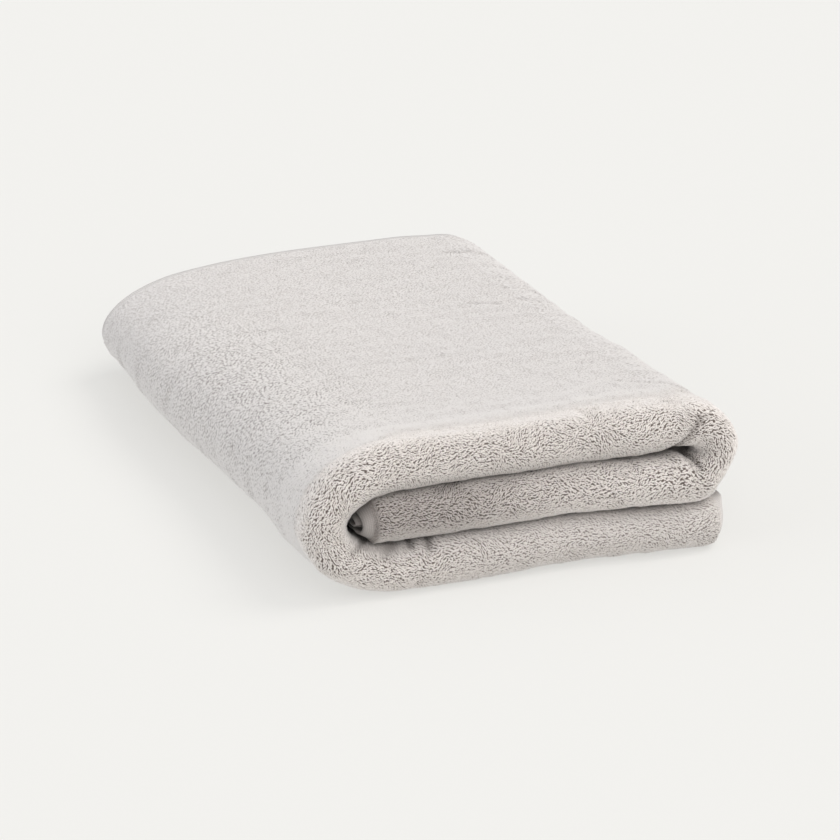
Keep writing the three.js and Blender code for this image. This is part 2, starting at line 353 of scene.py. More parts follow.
def pile_share(across, down):
    """0 on the flat hems along all four edges, 1 where the loops are."""
    return smoothstep(inset_at(across, down), hem_width, hem_width + hem_shoulder)


def thickness_at(across, down):
    """How thick the cloth is: thin at the hems, full where the loops are."""
    return hem_thickness + (terry_thickness - hem_thickness) * pile_share(across, down)


# %% [markdown]
# ## Creases and unevenness
# Terry is never smooth: it dimples every centimetre or so, and a few soft creases stay where the
# cloth gathers in a bend or was folded before. A texture could darken them, but it casts no shadow
# and leaves the outline straight. So both are a small height over the outer face: a sum of waves
# for the dimples, and soft troughs laid along short lines of the flat sheet.

# %% Dimples, creases and the height of the outer face
dimple_height = 0.27
dimple_count = 26
dimple_lengths = (9, 42)
dimple_rng = np.random.default_rng(seed=7)
dimple_length = dimple_rng.uniform(*dimple_lengths, dimple_count)
dimple_turn = dimple_rng.uniform(0, np.pi, dimple_count)
dimple_start = dimple_rng.uniform(0, 2 * np.pi, dimple_count)
# The deepest of these creases also get a painted shade, through tucked_at
creases = [
    dict(at=(190, 455), over=(193, 444), depth=3.2, half_width=3),
    dict(at=(202, 456), over=(204, 447), depth=3.0, half_width=2.6),
    dict(at=(214, 452), over=(224, 442), depth=1.8, half_width=3),
    dict(at=(235, 457), over=(250, 438), depth=2.4, half_width=3),
    dict(at=(513, 450), over=(530, 428), depth=3.2, half_width=3.5),
    dict(at=(598, 462), over=(590, 436), depth=-1.8, half_width=4),
    dict(at=(583, 464), over=(576, 442), depth=3.2, half_width=3.6),
    dict(at=(523, 132), over=(542, 140), depth=0.8, half_width=2.6),
    dict(at=(525, 158), over=(534, 174), depth=0.7, half_width=2.6),
    dict(at=(488, 158), over=(505, 165), depth=0.7, half_width=2.6),
    dict(at=(516, 47), over=(528, 49), depth=0.8, half_width=2.6),
    dict(at=(509, 357), over=(533, 371), depth=0.8, half_width=3),
]


def dimples(across, down):
    """The mean of waves of many lengths and directions, about one high at most."""
    total = np.zeros(np.broadcast(across, down).shape)
    for length, turn, start in zip(dimple_length, dimple_turn, dimple_start):
        wave = (across * math.cos(turn) + down * math.sin(turn)) / length
        total += np.sin(2 * np.pi * wave + start)
    return total / math.sqrt(dimple_count / 2)


def crease_depth(across, down):
    """The sum of soft troughs: depth times e to the minus squared distance from a short line over
    its half width. A depth under 0 is a ridge."""
    total = 0
    for row in creases:
        run = row["over"][0] - row["at"][0], row["over"][1] - row["at"][1]
        from_start = across - row["at"][0], down - row["at"][1]
        share = (from_start[0] * run[0] + from_start[1] * run[1]) / (run[0] ** 2 + run[1] ** 2)
        share = np.clip(share, 0, 1)
        apart = (from_start[0] - share * run[0]) ** 2 + (from_start[1] - share * run[1]) ** 2
        total = total + row["depth"] * np.exp(-apart / row["half_width"] ** 2)
    return total


def outer_height(across, down):
    """How far the outer face stands off the cloth's middle, in millimetres."""
    uneven = dimple_height * dimples(across, down) - crease_depth(across, down)
    return thickness_at(across, down) / 2 + pile_share(across, down) * uneven


# %% [markdown]
# ## The cloth as one closed surface
# The real sheet has two faces and a thickness, and the fold shows both. A plane thickened by a
# modifier would need as many faces inside as outside, most of them never seen. Here the lines of
# the grid lie close where the cloth shows and wide apart between plies, the inner face takes every
# third line of the outer one, and the rims are zipped shut between the fine and the coarse edge.

# %% Grid lines
inner_every = 3
to_across = sheet_width / strip_length
bend_margin = 36
across_zones = [
    (hem_width, 3),
    (hem_width + hem_shoulder, 1),
    (bottom_run * to_across - bend_margin, 5),
    (bottom_run * to_across, 2),
    (left_end * to_across, 2.7),
    (right_start * to_across, 3.1),
    (right_end * to_across, 1.7),
    (sheet_width - hem_width - hem_shoulder, 5),
    (sheet_width - hem_width, 1),
    (sheet_width, 3),
]
front_margin = 30
fold_end = outer_run + outer_fold
rear_crease = fold_end + outer_run
down_zones = [
    (hem_width, 3),
    (hem_width + hem_shoulder, 1),
    (outer_run - front_margin, 3.2),
    (outer_run, 1.5),
    (fold_end, 1.25),
    (fold_end + front_margin, 2),
    (rear_crease, 14),
    (rear_crease + inner_fold, 2),
    (rear_crease + inner_fold + inner_run, 16),
    (rear_crease + 2 * inner_fold + inner_run, 2),
    (sheet_length - hem_width - hem_shoulder, 16),
    (sheet_length - hem_width, 1),
    (sheet_length, 3),
]


def grid_lines(zones):
    """Even lines in each zone (end, wanted spacing), a multiple of inner_every of them."""
    lines = [np.array([0.0])]
    start = 0
    for end, spacing in zones:
        count = inner_every * max(round((end - start) / spacing / inner_every), 1)
        lines.append(np.linspace(start, end, count + 1)[1:])
        start = end
    return np.concatenate(lines)


across_lines = grid_lines(across_zones)
down_lines = grid_lines(down_zones)
print("grid", len(across_lines), "by", len(down_lines))


# %% Faces of the grid and of the rims
def grid_quads(numbers):
    """Four corners for each cell of a grid of vertex numbers."""
    a, b = numbers[:-1, :-1], numbers[1:, :-1]
    c, d = numbers[1:, 1:], numbers[:-1, 1:]
    return np.stack([a, b, c, d], -1).reshape(-1, 4)


def zip_edges(fine, coarse):
    """Triangles between a fine line of vertices and a coarse one that has every third of it."""
    step = np.arange(len(fine) - 1)
    nearest = (step + 1) // inner_every
    fans = np.stack([fine[:-1], fine[1:], coarse[nearest]], -1)
    turns = np.arange(len(coarse) - 1)
    fills = np.stack([coarse[:-1], fine[turns * inner_every + 2], coarse[1:]], -1)
    return np.concatenate([fans, fills])


def make_mesh(name, points, faces):
    """Puts points in millimetres and lists of triangles or quads into a new smooth object. A mesh
    stores the corners of all faces run together, and where each face starts among them."""
    corners = np.concatenate([group.ravel() for group in faces])
    sizes = np.concatenate([np.full(len(group), group.shape[1]) for group in faces])
    mesh = bpy.data.meshes.new(name)
    mesh.vertices.add(len(points))
    mesh.vertices.foreach_set("co", (points * MM).astype(np.float32).ravel())
    mesh.loops.add(len(corners))
    mesh.loops.foreach_set("vertex_index", corners.astype(np.int32))
    mesh.polygons.add(len(sizes))
    mesh.polygons.foreach_set("loop_start", (np.cumsum(sizes) - sizes).astype(np.int32))
    mesh.update(calc_edges=True)
    mesh.validate()
    mesh.shade_smooth()
    piece = bpy.data.objects.new(name, mesh)
    bpy.context.scene.collection.objects.link(piece)
    return piece


def volume_of(points, faces):
    """The signed volume inside closed faces, by tetrahedra to the origin; under 0 is inside out."""
    total = 0
    for group in faces:
        first = points[group[:, 0]]
        for i in range(1, group.shape[1] - 1):
            normal = np.cross(points[group[:, i]], points[group[:, i + 1]])
            total += np.einsum("ij,ij->", first, normal)
    return total / 6


# %% The sheet
across_grid, down_grid = np.meshgrid(across_lines, down_lines, indexing="ij")
outer_points = place_of(across_grid, down_grid, outer_height(across_grid, down_grid))
across_inner = across_grid[::inner_every, ::inner_every]
down_inner = down_grid[::inner_every, ::inner_every]
inner_points = place_of(across_inner, down_inner, -thickness_at(across_inner, down_inner) / 2)

smooth_face = place_of(across_grid, down_grid, thickness_at(across_grid, down_grid) / 2)
low, high = smooth_face.min((0, 1)), smooth_face.max((0, 1))
shift = np.array([-(low[0] + high[0]) / 2, -(low[1] + high[1]) / 2, 0])
print("bundle in mm", np.round(high - low, 1))

outer_numbers = np.arange(across_grid.size).reshape(across_grid.shape)
inner_numbers = across_grid.size + np.arange(across_inner.size).reshape(across_inner.shape)
sheet_points = np.concatenate([outer_points.reshape(-1, 3), inner_points.reshape(-1, 3)]) + shift
sheet_points[:, 2] = np.maximum(sheet_points[:, 2], 0)
rims = [
    zip_edges(outer_numbers[:, 0], inner_numbers[:, 0])[:, ::-1],
    zip_edges(outer_numbers[:, -1], inner_numbers[:, -1]),
    zip_edges(outer_numbers[0], inner_numbers[0]),
    zip_edges(outer_numbers[-1], inner_numbers[-1])[:, ::-1],
]
sheet_faces = [grid_quads(outer_numbers), grid_quads(inner_numbers)[:, ::-1], *rims]
if volume_of(sheet_points, sheet_faces) < 0:
    sheet_faces = [f[:, ::-1] for f in sheet_faces]
print("cloth volume in litres", round(volume_of(sheet_points, sheet_faces) / 1e6, 3))
sheet = make_mesh("terry_sheet", sheet_points, sheet_faces)
print("triangles", sum(len(f) * (f.shape[1] - 2) for f in sheet_faces))

# %% [markdown]
# ## How the pile lies
# Over a front fold the ground cloth is stretched, so its loops stand apart. Where the cloth dives
# between the layers they are combed flat along the warp, and elsewhere they lie close and calm.
# Painting such masks by hand would tie them to one mesh. Each is worked out from the place in the
# flat sheet instead, for the sheet and its loops alike, and stored on the vertices.

# %% Where the pile is combed
bend_reach = 12
combed_over = (0.6, 0.85)
comb_bottom = 0.4


def combed_at(across, down):
    """0 where loops stand open, 1 where the pile lies combed: past the widest part of the front
    fold, fully so inside the left bend and under the top layer, a little on the bottom layer."""
    share = (down - outer_run) / outer_fold
    eased = across / to_across
    layer = comb_bottom + (1 - comb_bottom) * smoothstep(eased, bottom_run - bend_reach, bottom_run)
    layer *= 1 - smoothstep(eased, right_start - bend_reach, right_start)
    return smoothstep(share, *combed_over) * layer * (down < rear_crease - 2 * inner_fold)


# %% Where the pile is strained open
side_reach = 10
top_reach = 30
right_reach = 75
strain_full_at = 0.3
strain_fades = (10, 60)
open_bottom = 0.6
# The shoulder's pile stands apart, and the ground between its loops is painted darker as shade
shoulder_open = 0.45
shoulder_from_end = 24
shoulder_width = 32
shoulder_grows = (20, 260)


def strained_at(across, down):
    """1 where a front fold strains the pile open, 0 where it lies calm or is combed."""
    eased = across / to_across
    top = smoothstep(eased, left_end - bend_reach, left_end + bend_reach)
    top *= 1 - smoothstep(eased, right_end - bend_reach, right_end)
    right = smoothstep(eased, right_start - bend_reach, right_start + 3 * bend_reach)
    reach = side_reach + top * (top_reach - side_reach) + right * (right_reach - top_reach)
    before = 1 - smoothstep(outer_run - down, strain_full_at * reach, reach)
    before *= 1 - smoothstep(down, fold_end + strain_fades[0], fold_end + strain_fades[1])
    layer = open_bottom + (1 - open_bottom) * smoothstep(eased, 0.5 * bottom_run, bottom_run)
    return before * layer * (1 - combed_at(across, down))


def open_at(across, down):
    """How far apart the pile stands: as it is strained, and part open over the left shoulder. Where
    it stands open, the ground between loops is painted darker as shade, which also darkens the left
    shoulder.
    """
    from_shoulder = (across / to_across - left_end + shoulder_from_end) / shoulder_width
    shoulder = shoulder_open * np.exp(-(from_shoulder**2)) * smoothstep(down, *shoulder_grows)
    return np.maximum(strained_at(across, down), shoulder * (1 - combed_at(across, down)))


# %% Where shade is painted on pile tucked out of the light
end_tucked = 0.85
end_reach = 2.2
# Painted shade over the middle layer near its end, where it lies set back in shade
set_back = 0.5
set_back_from = 165
set_back_full_at = 0.2
tucked_from = (-3, 9)
tucked_until = (120, 220)
tucked_depth = (0.8, 5)


def tucked_at(across, down):
    """1 where shade is painted on pile that is tucked out of the light: at the strip's end in the
    hollow and more lightly over the stretch before it, where the middle layer is set back, beyond
    the front fold inside the bundle, and in the deepest creases."""
    edge = smoothstep(across, sheet_width - end_reach * hem_width, sheet_width - hem_width)
    near_edge = sheet_width - set_back_full_at * set_back_from
    layer = smoothstep(across, sheet_width - set_back_from, near_edge)
    end = np.maximum(end_tucked * edge, set_back * layer)
    inside = smoothstep(down, fold_end + tucked_from[0], fold_end + tucked_from[1])
    inside = inside * (1 - smoothstep(down, fold_end + tucked_until[0], fold_end + tucked_until[1]))
    crease = smoothstep(crease_depth(across, down), *tucked_depth)
    return np.maximum(np.maximum(end, inside), crease)


# %% The sheet's attributes
def give_attribute(piece, name, kind, values):
    """Stores one value or vector for each vertex, for a material to read."""
    attribute = piece.data.attributes.new(name, kind, "POINT")
    field = "vector" if kind == "FLOAT_VECTOR" else "value"
    attribute.data.foreach_set(field, np.ascontiguousarray(values, np.float32).ravel())


all_across = np.concatenate([across_grid.ravel(), across_inner.ravel()])
all_down = np.concatenate([down_grid.ravel(), down_inner.ravel()])
is_inner = np.repeat([0.0, 1.0], [across_grid.size, across_inner.size])
woven = np.stack([all_across * MM, all_down * MM, is_inner], -1)
give_attribute(sheet, "woven", "FLOAT_VECTOR", woven)
give_attribute(sheet, "inset", "FLOAT", inset_at(all_across, all_down) * MM)
give_attribute(sheet, "combed", "FLOAT", combed_at(all_across, all_down))
give_attribute(sheet, "open", "FLOAT", open_at(all_across, all_down))
give_attribute(sheet, "tucked", "FLOAT", tucked_at(all_across, all_down))

# %% [markdown]
# ## Loops that stand
# The pile of terry is uncut loops in rough rows along the weft. On the front folds they stand apart
# and cast shadows, on the top and the sides they lie low and close, and combed pile is long and
# thin along the warp. Bump can't stand off the outline, and hair has no thickness in a model. So
# wherever the outer face shows, its loops are low arches with both feet in the cloth, joined into
# one mesh for each stretch of the sheet. Near folds take an arch of eight points, and calm and far
# stretches one of five, wider apart towards the back, where the eye can't part them anyway.

# %% Loops: two arches, and their sizes in millimetres
loop_spacing = (2.15, 1.02)
row_step = 0.25
loop_jitter = 0.26
loop_overhang = 0.7
widening_over = (0, 120)
loop_length = (2.2, 3.5)
loop_width = (0.75, 1.05)
loop_height = (0.75, 1.25)
least_height = 0.1
loop_turn = 0.3
loop_swirl = 0.4
lying_steadies = 0.5
combing_steadies = 0.7
loop_bow = 0.3
thinned = 0.2
thinned_reach = 140
thinned_full_at = 0.3
quiet = dict(length=0.9, width=1.15, height=0.45)
comb = dict(length=1.35, width=0.72, height=0.5, calm=0.3)
high_arch = dict(
    along=np.array([-0.5, -0.22, -0.22, -0.22, 0.22, 0.22, 0.22, 0.5]),
    aside=np.array([0, -0.5, 0, 0.5, -0.5, 0, 0.5, 0]),
    rise=np.array([-0.3, 0.1, 1, 0.1, 0.1, 1, 0.1, -0.3]),
    faces=np.array(
        [[0, 2, 1], [0, 3, 2], [1, 2, 5], [1, 5, 4], [2, 3, 6], [2, 6, 5], [4, 5, 7], [5, 6, 7]]
    ),
)
low_arch = dict(
    along=np.array([-0.5, 0, 0, 0, 0.5]),
    aside=np.array([0, -0.75, 0, 0.75, 0]),
    rise=np.array([-0.3, 0.1, 1, 0.1, -0.3]),
    faces=np.array([[0, 2, 1], [0, 3, 2], [1, 2, 4], [2, 3, 4]]),
)


# %% Where loops stand
def spread_at(down, spread):
    """How wide apart loops stand: the first value at the front folds, the second at the back."""
    return spread[0] + (spread[1] - spread[0]) * smoothstep(outer_run - down, *widening_over)


def loop_places(patch, spread, rng):
    """Jittered rows over a patch of the flat sheet, clear of the hems. Their spacing grows towards
    the back by the spread. Rows lie where the sum of 1 / spacing passes whole numbers."""
    start, end, down_start, down_end = patch
    fine = np.arange(down_start, down_end, row_step)
    passed = np.cumsum(row_step / (loop_spacing[1] * spread_at(fine, spread)))
    rows = np.interp(np.arange(passed[0], passed[-1]), passed, fine)[:, None]
    wide = spread_at(rows, spread)
    apart = loop_spacing[0] * wide
    count = int((end - start) / apart.min()) + 1
    place = np.arange(count) + 0.5 * (np.arange(len(rows)) % 2)[:, None]
    shape = len(rows), count
    across = start + apart * (place + rng.uniform(-loop_jitter, loop_jitter, shape))
    down = rows + loop_spacing[1] * wide * rng.uniform(-loop_jitter, loop_jitter, shape)
    kept = (across < end) & (inset_at(across, down) > hem_width - loop_overhang)
    return across[kept], down[kept], np.broadcast_to(np.sqrt(wide / spread[0]), shape)[kept]


# %% Making loops
def make_loops(name, arch, patch, spread, size, seed):
    """Arches over the outer face: each is two sunk feet and one or two sections of three points,
    bowed sideways, and turned at random about the weft, or the warp where the pile is combed. The
    arch is laid out in the flat sheet, and the fold then carries all its points."""
    rng = np.random.default_rng(seed)
    across, down, grown = loop_places(patch, spread, rng)
    count = len(across)
    combed = combed_at(across, down)
    lying = (1 - open_at(across, down)) * (1 - combed)

    def sized(key, span):
        scale = 1 + (quiet[key] - 1) * lying + (comb[key] - 1) * combed
        return size * grown * rng.uniform(*span, count) * scale

    length = sized("length", loop_length)
    width = sized("width", loop_width)
    height = sized("height", loop_height)
    near_edge = sheet_width - thinned_full_at * thinned_reach
    width *= 1 - thinned * smoothstep(across, sheet_width - thinned_reach, near_edge)
    swirl = loop_swirl * (1 - lying_steadies * lying) * dimples(across, down)
    turn = rng.normal(0, loop_turn, count) + swirl
    turn = turn * (1 - combing_steadies * combed) + combed * math.pi / 2
    bow = rng.uniform(-loop_bow, loop_bow, count) * length
    u = arch["along"] * length[:, None]
    v = arch["aside"] * width[:, None] + bow[:, None] * (1 - 4 * arch["along"] ** 2)
    cos, sin = np.cos(turn)[:, None], np.sin(turn)[:, None]
    off = outer_height(across, down)[:, None] + arch["rise"] * height[:, None]
    across_each = across[:, None] + u * cos - v * sin
    points = place_of(across_each, down[:, None] + u * sin + v * cos, off) + shift
    faces = arch["faces"]
    first = points[:, faces[:, 0]]
    sides = points[:, faces[:, 1]] - first, points[:, faces[:, 2]] - first
    if np.einsum("nfk,nk->", np.cross(*sides), points[:, 2] - points[:, 0]) < 0:
        faces = faces[:, ::-1]
    numbers = (np.arange(count) * len(arch["along"]))[:, None, None] + faces
    points[..., 2] = np.maximum(points[..., 2], least_height)
    piece = make_mesh(name, points.reshape(-1, 3), [numbers.reshape(-1, 3)])
    calm = (1 - strained_at(across, down)) * (1 - combed) + comb["calm"] * combed
    for key, values in (
        ("tip", np.clip(arch["rise"], 0, 1)),
        ("tone", rng.uniform(size=count)[:, None]),
        ("calm", calm[:, None]),
        ("tucked", tucked_at(across, down)[:, None]),
    ):
        give_attribute(piece, key, "FLOAT", np.broadcast_to(values, points.shape[:2]))
    print(name, count, "loops,", len(faces) * count, "triangles")
    return piece


# %% The stretches of the strip, and the loops on each
under_nose = outer_run - 2
over_nose = fold_end + 10
front_from = outer_run - 34
middle_from = outer_run - 245
round_nose = (under_nose, over_nose)
round_front = (front_from, over_nose)
round_top_front = (front_from, over_nose - 12)
round_rear = (rear_crease - 2, rear_crease + inner_fold + 3)
behind_front = (0, front_from)
on_bottom = (0, bottom_run)
on_left = (bottom_run, left_end)
on_top = (left_end, right_start)
on_right = (right_start, right_end)
on_middle = (right_end, strip_length)
even = dict(spread=(0.65, 0.65), size=0.78)
wide = dict(spread=(0.65, 0.92), size=0.78)
coarse = dict(spread=(0.8, 0.98), size=0.92)
sparse = dict(spread=(0.9, 0.9), size=1)
pile_pieces = [
    make_loops(name, arch, (start * to_across, end * to_across, *down_span), **stand, seed=seed)
    for seed, name, arch, (start, end), down_span, stand in (
        (11, "bottom_layer_loops", high_arch, on_bottom, round_nose, even),
        (12, "left_bend_front_loops", high_arch, on_left, round_front, wide),
        (13, "left_bend_back_loops", low_arch, on_left, behind_front, wide),
        (14, "top_front_loops", high_arch, on_top, round_top_front, wide),
        (15, "top_middle_loops", low_arch, on_top, (middle_from, front_from), wide),
        (16, "top_back_loops", low_arch, on_top, (0, middle_from), wide),
        (17, "right_bend_front_loops", high_arch, on_right, round_front, coarse),
        (18, "right_bend_back_loops", low_arch, on_right, behind_front, coarse),
        (19, "middle_layer_loops", high_arch, on_middle, round_nose, even),
        (20, "rear_crease_loops", low_arch, (0, strip_length), round_rear, sparse),
    )
]


def looped_at(across, down):
    """True where standing loops cover the outer face: round the nose of every layer, over the
    whole of both bends and the top between them, and round the rear crease."""
    off_centre = np.abs(across / to_across - (bottom_run + right_end) / 2)
    wrapped = off_centre < (right_end - bottom_run) / 2
    covered = (down < over_nose) & ((down > under_nose) | wrapped)
    return covered | ((down > round_rear[0]) & (down < round_rear[1]))


give_attribute(sheet, "looped", "FLOAT", looped_at(all_across, all_down) * (1 - is_inner))

# %% [markdown]
# ## Finishes
# Pile and flat hem are the same warm grey cotton. A photograph of terry could be wrapped over the
# sheet, but its shadows would be baked in and its seams would show. So the yarn's colours are
# plain values, and three shader groups vary them: a relief of short loops in rows for the pile
# where none stand, the weave of the hem, and a painted shade on pile that is tucked out of the
# light.
# All of them read the place in the flat cloth, or an attribute of the piece. Shade is painted into
# the colours too: into the pits of both reliefs, the ground between standing loops and the feet of
# the loops, and light is painted into the loops' tips.

# %% Node helpers
def add_node(tree, kind, inputs=None, **settings):
    """A node of this kind with its settings, and each input either linked or set."""
    node = tree.nodes.new(kind)
    for key, value in settings.items():
        setattr(node, key, value)
    for key, value in (inputs or {}).items():
        if isinstance(value, bpy.types.NodeSocket):
            tree.links.new(value, node.inputs[key])
        else:
            node.inputs[key].default_value = value
    return node


def maths(tree, operation, a, b=0.0, clamp=False):
    """One sum on two numbers or sockets."""
    settings = dict(operation=operation, use_clamp=clamp)
    return add_node(tree, "ShaderNodeMath", {0: a, 1: b}, **settings).outputs[0]


def mix_colours(tree, share, low, high, way="MIX"):
    """A colour between two colours or sockets, or their product where the way says MULTIPLY."""
    settings = dict(data_type="RGBA", blend_type=way)
    return add_node(tree, "ShaderNodeMix", {0: share, 6: low, 7: high}, **settings).outputs[2]


def mix_numbers(tree, share, low, high):
    """A number between two sockets."""
    inputs = {0: share, 2: low, 3: high}
    return add_node(tree, "ShaderNodeMix", inputs, data_type="FLOAT").outputs[0]


def ramp(tree, value, span, ends=(0.0, 1.0)):
    """Where a value lies in the span, as a number from the first end to the second."""
    spans = {"From Min": span[0], "From Max": span[1], "To Min": ends[0], "To Max": ends[1]}
    return add_node(tree, "ShaderNodeMapRange", {"Value": value, **spans}).outputs[0]


def attribute_of(tree, name, field="Fac"):
    """What the piece's own attribute says at this place."""
    return add_node(tree, "ShaderNodeAttribute", attribute_name=name).outputs[field]


def new_group(name, inputs, outputs, kind_out="NodeSocketFloat"):
    """An empty shader group with named inputs (kind, default) and outputs."""
    tree = bpy.data.node_groups.new(name, "ShaderNodeTree")
    for key, (kind, value) in inputs.items():
        socket = tree.interface.new_socket(key, in_out="INPUT", socket_type=kind)
        if value is not None:
            socket.default_value = value
    for key in outputs:
        tree.interface.new_socket(key, in_out="OUTPUT", socket_type=kind_out)
    return tree, tree.nodes.new("NodeGroupInput"), tree.nodes.new("NodeGroupOutput")


# %% The pile's relief where no loops stand
wander_scale = 420.0
wander_reach = 0.0026
loop_scatter = 0.85
loop_steepness = 1.6
fibres_per_metre = (1500.0, 330.0)
pile, pile_in, pile_out = new_group(
    "terry_pile",
    {
        "Woven": ("NodeSocketVector", None),
        "Loop length": ("NodeSocketFloat", 0.002),
        "Row spacing": ("NodeSocketFloat", 0.0012),
        "Combed": ("NodeSocketFloat", 0.0),
    },
    ["Height"],
)
woven_in = pile_in.outputs["Woven"]
wander = add_node(
    pile, "ShaderNodeTexNoise", {"Vector": woven_in, "Scale": wander_scale, "Detail": 1.0}
)
wander_off = add_node(
    pile,
    "ShaderNodeVectorMath",
    {0: wander.outputs["Color"], 1: (0.5, 0.5, 0.5)},
    operation="SUBTRACT",
)
wander_by = add_node(
    pile,
    "ShaderNodeVectorMath",
    {0: wander_off.outputs[0], "Scale": wander_reach},
    operation="SCALE",
)
wandered = add_node(
    pile, "ShaderNodeVectorMath", {0: woven_in, 1: wander_by.outputs[0]}, operation="ADD"
)
parts = add_node(pile, "ShaderNodeSeparateXYZ", {0: wandered.outputs[0]})
loop_place = add_node(
    pile,
    "ShaderNodeCombineXYZ",
    {
        0: maths(pile, "DIVIDE", parts.outputs[0], pile_in.outputs["Loop length"]),
        1: maths(pile, "DIVIDE", parts.outputs[1], pile_in.outputs["Row spacing"]),
    },
)
cells = add_node(
    pile,
    "ShaderNodeTexVoronoi",
    {"Vector": loop_place.outputs[0], "Scale": 1.0, "Randomness": loop_scatter},
    voronoi_dimensions="2D",
)
loop_round = maths(pile, "MULTIPLY", cells.outputs["Distance"], cells.outputs["Distance"])
loop_fall = maths(pile, "MULTIPLY", loop_round, loop_steepness)
loop_relief = maths(pile, "SUBTRACT", 1.0, loop_fall, clamp=True)
fibre_place = add_node(
    pile,
    "ShaderNodeCombineXYZ",
    {
        0: maths(pile, "MULTIPLY", parts.outputs[0], fibres_per_metre[0]),
        1: maths(pile, "MULTIPLY", parts.outputs[1], fibres_per_metre[1]),
    },
)
fibres = add_node(
    pile, "ShaderNodeTexNoise", {"Vector": fibre_place.outputs[0], "Scale": 1.0, "Detail": 2.0}
)
pile_height = mix_numbers(pile, pile_in.outputs["Combed"], loop_relief, fibres.outputs[0])
pile.links.new(pile_height, pile_out.inputs["Height"])

# %% Painted shade of the tucked-in pile
# The colour that the painted shade multiplies into tucked-in pile
painted_shade_tint = (0.42, 0.40, 0.39, 1)
shade, shade_in, shade_out = new_group(
    "tucked_shade",
    {"Colour": ("NodeSocketColor", None), "Tucked": ("NodeSocketFloat", 0.0)},
    ["Colour"],
    "NodeSocketColor",
)
shaded = mix_colours(
    shade, shade_in.outputs["Tucked"], shade_in.outputs["Colour"], painted_shade_tint, "MULTIPLY"
)
shade.links.new(shaded, shade_out.inputs["Colour"])


def shaded_in(tree, colour):
    """The colour, darkened by painted shade where the piece's tucked attribute says so."""
    group = add_node(tree, "ShaderNodeGroup", node_tree=shade)
    tree.links.new(colour, group.inputs["Colour"])
    tree.links.new(attribute_of(tree, "tucked"), group.inputs["Tucked"])
    return group.outputs["Colour"]


# %% The weave of the hem
weave, weave_in, weave_out = new_group(
    "flat_weave",
    {"Woven": ("NodeSocketVector", None), "Thread": ("NodeSocketFloat", 0.0006)},
    ["Height"],
)
weave_parts = add_node(weave, "ShaderNodeSeparateXYZ", {0: weave_in.outputs["Woven"]})
threads = []
for axis in (0, 1):
    turns = maths(weave, "DIVIDE", weave_parts.outputs[axis], weave_in.outputs["Thread"])
    wave = maths(weave, "SINE", maths(weave, "MULTIPLY", turns, math.pi))
    threads.append(maths(weave, "MULTIPLY", wave, wave))
weave.links.new(maths(weave, "MULTIPLY", threads[0], threads[1]), weave_out.inputs["Height"])

# %% Materials of cotton
cotton_roughness = 0.95


def new_material(name, sheen, sheen_roughness, shine):
    """A material of matt cotton, with the same sheen of loose fibres all over."""
    material = bpy.data.materials.new(name)
    material.use_nodes = True
    shader = material.node_tree.nodes["Principled BSDF"]
    shader.inputs["Roughness"].default_value = cotton_roughness
    shader.inputs["Sheen Weight"].default_value = sheen
    shader.inputs["Sheen Roughness"].default_value = sheen_roughness
    shader.inputs["Specular IOR Level"].default_value = shine
    return material, material.node_tree, shader


# %% Terry
yarn_colour = (0.76, 0.72, 0.69, 1)
# The pits of the bare pile's relief are painted darker, as shade
shaded_pit_colour = (0.50, 0.455, 0.425, 1)
hem_colour = (0.70, 0.67, 0.65, 1)
# The hem's weave is painted darker between its threads, as shade
shaded_hem_pit_colour = (0.52, 0.49, 0.47, 1)
# The ground between standing loops is painted dark as the shade that falls there, less so under
# calm pile
shaded_ground_colour = (0.13, 0.105, 0.09, 1)
calm_shaded_ground_colour = (0.50, 0.465, 0.445, 1)
ground_clears = 0.6
pit_height = 0.55
hem_thread = 0.0013
hem_fades = (0.0088, 0.0102)
rib_height = 0.12


def terry_material(name, loop_length, row_spacing, relief):
    """The ground between standing loops, painted dark as the shade that falls among them, and pile
    with a relief of its own where none stand, its pits painted darker as shade. Both give way to
    flat weave inside the hem, painted darker between its threads as shade."""
    material, tree, shader = new_material(name, sheen=0.25, sheen_roughness=0.6, shine=0.15)
    woven_at = attribute_of(tree, "woven", "Vector")
    loops = add_node(
        tree,
        "ShaderNodeGroup",
        {
            "Woven": woven_at,
            "Loop length": loop_length,
            "Row spacing": row_spacing,
            "Combed": attribute_of(tree, "combed"),
        },
        node_tree=pile,
    )
    flat = add_node(
        tree, "ShaderNodeGroup", {"Woven": woven_at, "Thread": hem_thread}, node_tree=weave
    )
    hem = ramp(tree, attribute_of(tree, "inset"), hem_fades, (1.0, 0.0))
    depth = ramp(tree, loops.outputs["Height"], (0.0, pit_height))
    # Painted shade between standing loops: the more open the pile, the darker
    cleared = maths(tree, "POWER", attribute_of(tree, "open"), ground_clears)
    under_loops = mix_colours(tree, cleared, calm_shaded_ground_colour, shaded_ground_colour)
    bare_pile = mix_colours(tree, depth, shaded_pit_colour, yarn_colour)
    pile_colour = mix_colours(tree, attribute_of(tree, "looped"), bare_pile, under_loops)
    rib = mix_colours(tree, flat.outputs["Height"], shaded_hem_pit_colour, hem_colour)
    cloth_colour = mix_colours(tree, hem, pile_colour, rib)
    tree.links.new(shaded_in(tree, cloth_colour), shader.inputs["Base Color"])
    rib_relief = maths(tree, "MULTIPLY", flat.outputs["Height"], rib_height)
    height = mix_numbers(tree, hem, loops.outputs["Height"], rib_relief)
    bump = add_node(
        tree, "ShaderNodeBump", {"Height": height, "Distance": relief, "Strength": 1.0}
    )
    tree.links.new(bump.outputs[0], shader.inputs["Normal"])
    return material


terry = terry_material("terry", loop_length=0.0019, row_spacing=0.00125, relief=0.0007)
sheet.data.materials.append(terry)

